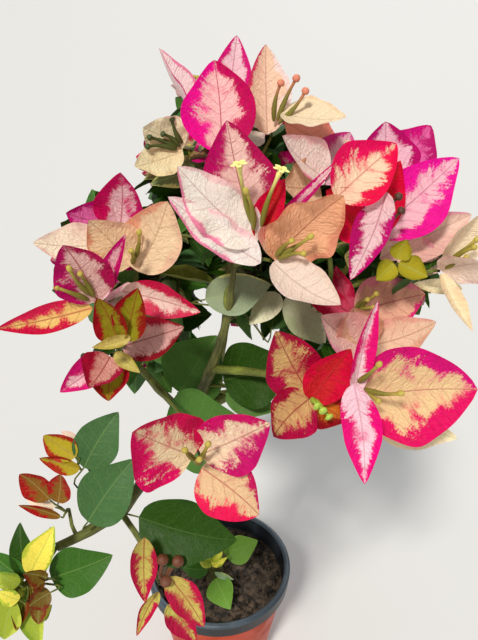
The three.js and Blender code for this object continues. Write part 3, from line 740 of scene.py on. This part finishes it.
def border_share(n, border_width, from_edge, patches, streaks, flecks):
    """How much of the border's colour shows: a feathered edge of uneven width."""
    width = n.times(border_width, n.ease(patches, 0.3, 0.7, 0.5, 1.5))
    shift = n.times(n.minus(streaks, 0.5), n.times(border_width, 1.2))
    fleck_shift = n.times(n.minus(flecks, 0.5), n.times(border_width, 1.1))
    depth = n.plus(from_edge, n.plus(shift, fleck_shift))
    inner = n.plus(n.times(width, 1.15), 0.01)
    share = n.ease(depth, n.times(width, 0.55), inner, 1.0, 0.0)
    return n.times(share, n.ease(border_width, 0.0, 0.5))


def blade_material(name, vein_colour, vein_mix, vein_gap, roughness, relief, glow):
    """Bracts and leaves: a feathered border, a midrib, side veins and a fine net between them."""
    n = Nodes(name)
    along, across, from_edge = n.split(n.read("spot"))
    border_width, vein_strength, seed = n.split(n.read("habit"))
    middle, border = n.read("middle"), n.read("border")
    away = n.math("ABSOLUTE", across)
    drift = n.noise(n.vector(along, across, n.plus(seed, 61.0)), 0.16, 1.0)
    vein_line = n.plus(n.minus(along, n.times(away, 0.7)), n.times(drift, 5.0))
    streaks = n.noise(n.vector(n.times(vein_line, 0.55), n.times(away, 0.2), seed), 1.0, 3.0)
    flecks = n.noise(n.vector(along, across, n.plus(seed, 9.0)), 1.3, 3.0)
    patches = n.noise(n.vector(along, across, n.plus(seed, 31.0)), 0.10, 1.0)
    rim = border_share(n, border_width, from_edge, patches, streaks, flecks)

    waver = n.times(n.minus(flecks, 0.5), 1.4)
    rib = n.ease(n.plus(away, n.times(along, 0.004)), 0.16, 0.46, 1.0, 0.0)
    step = n.math("FRACT", n.math("DIVIDE", n.plus(vein_line, waver), vein_gap))
    off_vein = n.times(n.math("ABSOLUTE", n.minus(step, 0.5)), vein_gap)
    side_veins = n.times(n.ease(off_vein, 0.05, 0.34, 0.5, 0.0), n.ease(from_edge, 0.3, 2.5))
    cells = n.cells(n.vector(vein_line, n.times(away, 0.85), seed), 0.5)
    net = n.ease(cells, 0.0, 0.08, 0.3, 0.0)
    veins = n.math("MAXIMUM", rib, n.math("MAXIMUM", side_veins, net))
    veins = n.times(veins, vein_strength, clamp=True)

    blush = n.times(n.ease(patches, 0.42, 0.72, 0.0, 0.2), n.ease(border_width, 0.0, 6.0))
    ground = n.mix(blush, middle, border)
    ground = n.darken(n.ease(flecks, 0.35, 0.7, 0.0, 0.25), ground, (0.66, 0.5, 0.36))
    rim_colour = n.darken(n.ease(streaks, 0.42, 0.7, 0.0, 0.28), border, (0.55, 0.3, 0.5))
    colour = n.mix(rim, ground, rim_colour)
    colour = n.mix(veins, colour, n.mix(vein_mix, border, (*vein_colour, 1.0)))
    height = n.plus(n.times(flecks, 0.4), n.times(n.ease(cells, 0.0, 0.35), 0.5))
    height = n.minus(height, n.times(n.math("MAXIMUM", rib, side_veins), 0.7))
    gloss = n.ease(streaks, 0.3, 0.7, roughness - 0.06, roughness + 0.08)
    n.shader.inputs["Specular IOR Level"].default_value = 0.14
    n.glow_through(colour, glow)
    return n.finish(colour, gloss, height, relief, 0.7)


def flower_material():
    n = Nodes("flower_tube")
    along, turn, _ = n.split(n.read("spot"))
    mottle = n.noise(n.vector(along, turn, 0.0), 1.6, 2.0)
    colour = n.darken(n.ease(mottle, 0.4, 0.7, 0.0, 0.35), n.read("border"), (0.5, 0.42, 0.3))
    return n.finish(colour, 0.6, mottle, 0.0003)


def bark_material():
    n = Nodes("young_bark")
    along, turn, _ = n.split(n.read("spot"))
    round_it = n.vector(n.times(along, 0.10), n.math("SINE", turn), n.math("COSINE", turn))
    fibres = n.noise(round_it, 3.4, 4.0)
    blotch = n.noise(n.place(), 90.0, 3.0)
    colour = n.mix(n.ease(blotch, 0.35, 0.65), n.read("border"), n.read("middle"))
    colour = n.mix(n.ease(fibres, 0.45, 0.7, 0.0, 0.5), colour, (0.02, 0.02, 0.006, 1.0))
    return n.finish(colour, n.ease(fibres, 0.3, 0.7, 0.5, 0.75), fibres, 0.0008, 0.7)


def plastic_material(name, colour, dust_and_highlight, roughness, scale):
    """Moulded plastic with a fine grain and a dusting of soil. On the rim's lip both colours are a painted
    highlight, lighter in patches.
    """
    n = Nodes(name)
    grain = n.noise(n.place(), 900.0, 2.0)
    dust_and_highlight_patches = n.noise(n.place(), scale, 4.0)
    shade = n.mix(n.ease(dust_and_highlight_patches, 0.42, 0.72, 0.0, 0.5), opaque(colour), opaque(dust_and_highlight))
    n.shader.inputs["Specular IOR Level"].default_value = 0.25
    return n.finish(shade, n.ease(dust_and_highlight_patches, 0.4, 0.7, roughness, roughness + 0.2), grain, 0.0002, 0.4)


def soil_material():
    n = Nodes("soil")
    coarse = n.noise(n.place(), 160.0, 5.0)
    fine = n.noise(n.place(), 700.0, 3.0)
    colour = n.mix(n.ease(coarse, 0.35, 0.68), opaque("#1c1610"), opaque("#5c4c3c"))
    colour = n.mix(n.ease(fine, 0.62, 0.75, 0.0, 0.7), colour, opaque("#8c7c68"))
    return n.finish(colour, 0.95, fine, 0.001, 0.8)


# --- Stems and stalks ---
def limb_radii(count, thick, thin, rng):
    """A limb's radius at each place: its taper, and a swelling at each of its nodes."""
    along = np.linspace(0, 1, count)
    radii = thick + (thin - thick) * along
    for i in range(1, count // NODE_STEPS):
        at = (i * NODE_STEPS + rng.uniform(-3, 3)) / count
        radii = radii * (1 + NODE_SWELLING * np.exp(-((along - at) * count / 2.2) ** 2))
    return radii


def make_stems(bark):
    """Every limb of the frame, with nodes and bark relief, in one piece."""
    growth = Growth()
    rng = np.random.default_rng(5)
    old, green = linear("#6e6a3c"), linear("#76802c")
    for name, (points, thick, thin) in LIMBS.items():
        path = smooth_path(points, LIMB_STEP)
        radii = limb_radii(len(path), thick, thin, rng)
        if name == "trunk":
            height = path[:, 2] - path[0, 2]
            radii = radii * (1 + ROOT_FLARE * np.clip(1 - height / FLARE_HEIGHT, 0, 1) ** 2)
        age = np.clip((thick - 2.2) / 2.5, 0, 1)
        add_limb(growth, rng, path, radii, old * age + green * (1 - age))
    growth.make("stems", [bark], "bark", *LIMBS)


def add_limb(growth, rng, path, radii, colour):
    """Adds one limb of uneven round section, closed at its thin end."""
    turns = even_turns(LIMB_SIDES)
    along = distances(path)
    along = np.append(along, along[-1]) + rng.uniform(0, 90)
    rings = []
    for place, radius, flat in zip(path, radii, circles_along(path, turns)):
        uneven = [noise.noise(place * 0.12 + f * 1.3) for f in flat]
        rings.append(place + flat * (radius * (1 + 0.13 * np.array(uneven)))[:, None])
    end = path[-1] + (path[-1] - path[-2]) * 0.3
    rings.append(np.tile(end, (LIMB_SIDES, 1)))
    growth.rings(rings, turns, along, colour, np.tile(colour * 0.62, (len(rings), 1)), 0)


def limb_points():
    """Places on every limb, for new twigs to start from, with the limb's name."""
    places, names = [], []
    for name, (points, _, _) in LIMBS.items():
        path = smooth_path(points, 4)
        places.append(path)
        names += [name] * len(path)
    return np.vstack(places), np.array(names)


def add_twig(growth, rng, start, end, arrive, radius, colour):
    """Adds a thin stalk from a limb to a heart, that comes in from behind it."""
    span = np.linalg.norm(end - start)
    bend = end - unit(arrive) * min(12, span * 0.35)
    sag = (start + bend) / 2 + rng.normal(size=3) * span * 0.04
    path = smooth_path([start, sag, bend, end], TWIG_STEP)
    radii = np.linspace(radius * 1.3, radius * 0.8, len(path))
    add_tube(growth, path, radii, np.tile(colour, (len(path), 1)), 0, TWIG_SIDES)
    return path


def add_small_leaf(growth, rng, at, heading, gap, least, most, share, facing):
    """Adds a smaller leaf, that starts across a gap from its twig."""
    long = rng.uniform(least, most)
    kind = BACK_LEAVES[rng.integers(len(BACK_LEAVES))]
    add_blade(growth, rng, at + heading * gap, at + heading * long, long * share, facing, kind,
              "leaf", light=True)


def add_stalk_leaves(growth, rng, path, facing, most):
    """Adds small leaves along a stalk, from its bloom back, that lean away from its facing."""
    back = -unit(facing)
    for i in range(min(most, (len(path) - 1) // 2)):
        aside = aside_from(back, i * GOLDEN_ANGLE + rng.uniform(-0.4, 0.4))
        heading = unit(aside * 0.8 + back * 0.7)
        at = path[-2 * (i + 1) - 1]
        add_small_leaf(growth, rng, at, heading, 2, 16, 24, 0.62, UP + back * 0.4)


def make_twigs(bark, leaf):
    """The stalks from each bloom and leaf group to the nearest limb below it, and their leaves."""
    growth, foliage = Growth(), Growth()
    rng = np.random.default_rng(9)
    places, _ = limb_points()
    green = linear("#6c7428")
    for name, (heart, facing, *_) in {**BLOOMS, **LEAVES}.items():
        gap = np.linalg.norm(places - heart, axis=1)
        climb = np.clip(places[:, 2] - heart[2] + 4, 0, None)
        start = places[np.argmin(gap + 3 * climb)]
        path = add_twig(growth, rng, start, np.array(heart, float), facing, STALK_RADIUS, green)
        if name in BLOOMS and name not in BARE_STALKS:
            add_stalk_leaves(foliage, rng, path, facing, LEAVES_A_STALK)
    for name, count in LEAFY_LIMBS.items():
        add_stalk_leaves(foliage, rng, smooth_path(LIMBS[name][0], TWIG_STEP), FRONT, count)
    for heart, _, blades in LEAVES.values():
        heart = np.array(heart, float)
        for blade in (Blade(*row) for row in blades):
            if blade.base:
                ahead = np.subtract(blade.tip, blade.base)
                add_twig(growth, rng, heart, heart + blade.base, ahead, LEAF_STALK_RADIUS, green)
    growth.make("flower_stalks", [bark], "bark")
    foliage.make("stalk_leaves", [leaf], "leaf")


# --- Blooms and leaves ---
def grown_group(seed, heart, facing, blades, flowers=None):
    """The blades of a bloom or leaf group, which start a little way out of its heart, and its flowers."""
    growth = Growth()
    rng = np.random.default_rng(seed)
    heart = np.array(heart, float)
    for blade in (Blade(*row) for row in blades):
        tip = heart + blade.tip
        base = heart + (blade.base or unit(tip - heart) * HEART_GAP)
        add_blade(growth, rng, base, tip, blade.width, facing, blade.kind, blade.shape, blade.turn)
    for stage, ends in (flowers or {}).items():
        for end in np.array(ends, float):
            add_flower(growth, rng, heart + end * FLOWER_START, heart + end, stage)
    return growth


def make_groups(bract, flower, leaf):
    """One piece for each bloom and each leaf group of the frame."""
    for index, (name, group) in enumerate(BLOOMS.items()):
        growth = grown_group(100 + index, *group)
        growth.make("bracts_" + name, [bract, flower], "bract", "bloom_" + name)
    for index, (name, group) in enumerate(LEAVES.items()):
        growth = grown_group(300 + index, *group)
        growth.make(name + "_grown", [leaf], "leaf", name)


# --- The inner and back masses ---
def make_back(bract, leaf, flower, bark):
    """The inner and back masses: twigs, with leaves along them and blooms at their ends."""
    wood = Growth()
    rng = np.random.default_rng(21)
    places, names = limb_points()
    clumps = [*MASSES.values(), *FILLERS]
    for first in range(0, len(clumps), CLUMPS_A_PIECE):
        blossom, foliage = Growth(), Growth()
        for heart, reach, bough in clumps[first:first + CLUMPS_A_PIECE]:
            near = places[names == bough]
            add_clump(blossom, foliage, wood, rng, np.array(heart, float), reach, near)
        number = str(first // CLUMPS_A_PIECE + 1)
        replaced = list(MASSES)[first:first + CLUMPS_A_PIECE]
        foliage.make("back_leaves_" + number, [leaf], "leaf", *replaced)
        blossom.make("back_blossom_" + number, [bract, flower], "bract")
    wood.make("back_twigs", [bark], "bark")


def add_clump(blossom, foliage, wood, rng, heart, reach, near):
    """Adds shoots round a heart, and the twig that joins it to its bough."""
    out = unit(heart - CROWN_MIDDLE)
    green = linear("#5c6424")
    start = near[np.argmin(np.linalg.norm(near - heart, axis=1))]
    add_twig(wood, rng, start, heart, out, CLUMP_RADIUS, green)
    for i in range(SHOOTS_A_CLUMP):
        lift = math.asin(1 - (i + 0.5) * 1.6 / SHOOTS_A_CLUMP)
        aside = aside_from(out, i * GOLDEN_ANGLE + rng.uniform(-0.3, 0.3))
        way = out * math.sin(lift) + aside * math.cos(lift)
        end = heart + way * reach * rng.uniform(0.35, 0.62)
        add_twig(wood, rng, heart, end, way, SHOOT_RADIUS, green)
        add_spray(foliage, rng, heart, end, way)
        if lift > -0.1 and i % 3 != 1:
            add_bloom(blossom, rng, end, unit(way + out * 0.6))


def add_bloom(growth, rng, heart, way):
    """Adds a bloom of three bracts and three flowers."""
    kind = BACK_BRACTS[rng.integers(len(BACK_BRACTS))]
    turn = rng.uniform(0, 6)
    for i in range(3):
        aside = aside_from(way, turn + i * 2 * math.pi / 3)
        long = rng.uniform(25, 32)
        tip = heart + aside * long * 0.85 + way * long * rng.uniform(0.2, 0.5)
        width = long * rng.uniform(0.68, 0.8)
        tilt = rng.uniform(-12, 12)
        add_blade(growth, rng, heart + aside, tip, width, way, kind, "cup", tilt, light=True)
        add_flower(growth, rng, heart + aside * 2, heart + way * 14 + aside * 5, "bud")


def add_spray(growth, rng, start, end, way):
    """Adds leaves turn by turn along a twig."""
    for i in range(LEAVES_A_SHOOT):
        at = start + (end - start) * (0.25 + 0.75 * i / (LEAVES_A_SHOOT - 1))
        aside = aside_from(end - start, i * GOLDEN_ANGLE + rng.uniform(-0.4, 0.4))
        heading = unit(aside + unit(end - start) * 0.6 - UP * 0.15)
        add_small_leaf(growth, rng, at, heading, 3, 22, 31, 0.6, UP + way * 0.9)


# --- The pot ---
def lathe(growth, profile, slot=0, sides=96):
    """Turns a profile of (radius, height) about the upright axis."""
    growth.plain(np.array([[(r * math.cos(t), r * math.sin(t), z) for t in even_turns(sides)]
                           for r, z in profile]), slot)


def make_pot(terracotta, black, lip_highlight):
    """The pot's wall, black inside, and its hooked rim, whose bead has a painted highlight."""
    top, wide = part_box("pot")[1].z / MM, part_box("pot")[1].x / MM
    wall = POT_FOOT + 0.8 * (wide - POT_FOOT)
    growth = Growth()
    lathe(growth, [(0.01, 1.2), (POT_FOOT - 4, 1.2), (POT_FOOT - 3, 0.1), (POT_FOOT - 0.8, 0),
                   (POT_FOOT, 0.9), (wall, top * 0.78), (wall + 0.9, top * 0.8), (wide, top - 0.2)])
    lathe(growth, [(wide, top - 0.2), (wide - 1.8, top), (wide - 4.2, 72), (POT_FOOT, 60)], 1)
    growth.make("pot_body", [terracotta, black], "pot", "pot")

    rim_low, rim_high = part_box("pot_rim")
    skirt, edge, height = rim_low.z / MM, rim_high.x / MM, rim_high.z / MM
    rim = Growth()
    bead = [(edge, height - 2.6), (edge, height - 1.2), (edge - 1.0, height - 0.2),
            (edge - 2.4, height), (edge - 3.8, height - 0.4), (edge - 4.6, height - 1.4)]
    lathe(rim, [(wide - 2.2, skirt), (edge - 1.6, skirt), (edge - 0.9, skirt + 0.6),
                (edge - 0.5, height - 3.4), bead[0]])
    # The bead's rings take the lip material: a painted highlight, the sky's reflection on the rolled lip.
    lathe(rim, bead, 1)
    lathe(rim, [bead[-1], (edge - 5.0, height - 4), (edge - 6.4, height - 15)])
    rim.make("pot_rim_turned", [black, lip_highlight], "rim", "pot_rim")


def soil_height(x, y):
    """The soil's level with wide swells and small humps."""
    return (SOIL_LEVEL + 1.6 * noise.noise((x * 0.09, y * 0.09, 2))
            + 0.9 * noise.noise((x * 0.35, y * 0.35, 5)))


def make_soil(earth):
    """Crumbly soil: an uneven disc and loose crumbs on it."""
    growth = Growth()
    rng = np.random.default_rng(3)
    flat = circle(even_turns(SOIL_SIDES), (1, 0), (0, 1))
    rings = [[(x, y, soil_height(x, y)) for x, y in flat * radius]
             for radius in np.linspace(0, SOIL_RADIUS, SOIL_RINGS)]
    growth.plain(np.array(rings))
    for _ in range(CRUMBS):
        radius, turn = 48 * math.sqrt(rng.uniform()), rng.uniform(0, 2 * math.pi)
        size = rng.uniform(0.7, 2.4)
        middle = (radius * math.cos(turn), radius * math.sin(turn), SOIL_LEVEL + size * 0.4)
        add_crumb(growth, rng, middle, size)
    growth.make("soil_crumbs", [earth], "soil", "soil", mapped=False)


def add_crumb(growth, rng, middle, size):
    """Adds one uneven lump."""
    turns = even_turns(CRUMB_SIDES)
    stretch = rng.uniform(0.7, 1.4, 3) * size
    places = []
    for lift in np.linspace(-1.4, 1.4, 5):
        ring = np.stack([np.cos(turns) * math.cos(lift), np.sin(turns) * math.cos(lift),
                         np.full(CRUMB_SIDES, math.sin(lift))], -1)
        places.append(ring * stretch * rng.uniform(0.8, 1.2, (CRUMB_SIDES, 1)) + middle)
    growth.plain(np.array(places))


# --- The scene ---
def make_floor():
    mesh = bpy.data.meshes.new("floor")
    corners = [(-1, -1), (1, -1), (1, 1), (-1, 1)]
    mesh.from_pydata([(x * FLOOR_HALF, y * FLOOR_HALF, 0) for x, y in corners], [], [(0, 1, 2, 3)])
    mesh.materials.append(Nodes("floor_paint").finish((0.6, 0.6, 0.585, 1.0), 0.8))
    floor = add_object("floor", mesh)


def make_camera():
    data = bpy.data.cameras.new("camera")
    data.sensor_width = SENSOR_WIDTH
    data.lens = LENS
    camera = add_object("camera", data)
    camera.location = CAMERA_PLACE
    camera.rotation_euler = (math.radians(CAMERA_TILT), 0, 0)
    bpy.context.scene.camera = camera


def add_sun(name, energy, spread, colour, lean, tilt):
    """Adds a far lamp. Its spread, lean and tilt are in degrees."""
    data = bpy.data.lights.new(name, "SUN")
    data.energy = energy
    data.angle = math.radians(spread)
    data.color = colour
    add_object(name, data).rotation_euler = (math.radians(lean), math.radians(tilt), 0)


def make_light():
    world = bpy.data.worlds.new("sky")
    world.use_nodes = True
    sky = world.node_tree.nodes["Background"]
    sky.inputs["Color"].default_value = (0.95, 0.97, 1.0, 1)
    sky.inputs["Strength"].default_value = 0.42
    bpy.context.scene.world = world
    add_sun("sun", 3.3, 9, (1.0, 0.96, 0.9), 38, -18)
    add_sun("back_light", 1.0, 25, (1.0, 1.0, 1.0), -52, 20)


def main():
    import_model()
    bpy.context.scene.view_settings.view_transform = "Standard"
    bract = blade_material("bract", (0.30, 0.09, 0.03), 0.5, 5.6, 0.6, 0.0006, 0.3)
    leaf = blade_material("leaf", (0.30, 0.42, 0.12), 0.6, 6.5, 0.5, 0.00016, 0.15)
    flower, bark = flower_material(), bark_material()
    terracotta = plastic_material("terracotta_plastic", "#be3a12", "#9c3c1c", 0.45, 60.0)
    black = plastic_material("black_plastic", "#1c2024", "#4a5258", 0.35, 40.0)
    # The lip's blue-grey colours are a painted highlight, the sky's reflection, not the plastic's own.
    lip_highlight = plastic_material("rim_lip_painted_highlight", "#3c464e", "#64707a", 0.3, 40.0)
    make_pot(terracotta, black, lip_highlight)
    make_soil(soil_material())
    make_stems(bark)
    make_groups(bract, flower, leaf)
    make_twigs(bark, leaf)
    make_back(bract, leaf, flower, bark)
    make_floor()
    make_camera()
    make_light()


main()
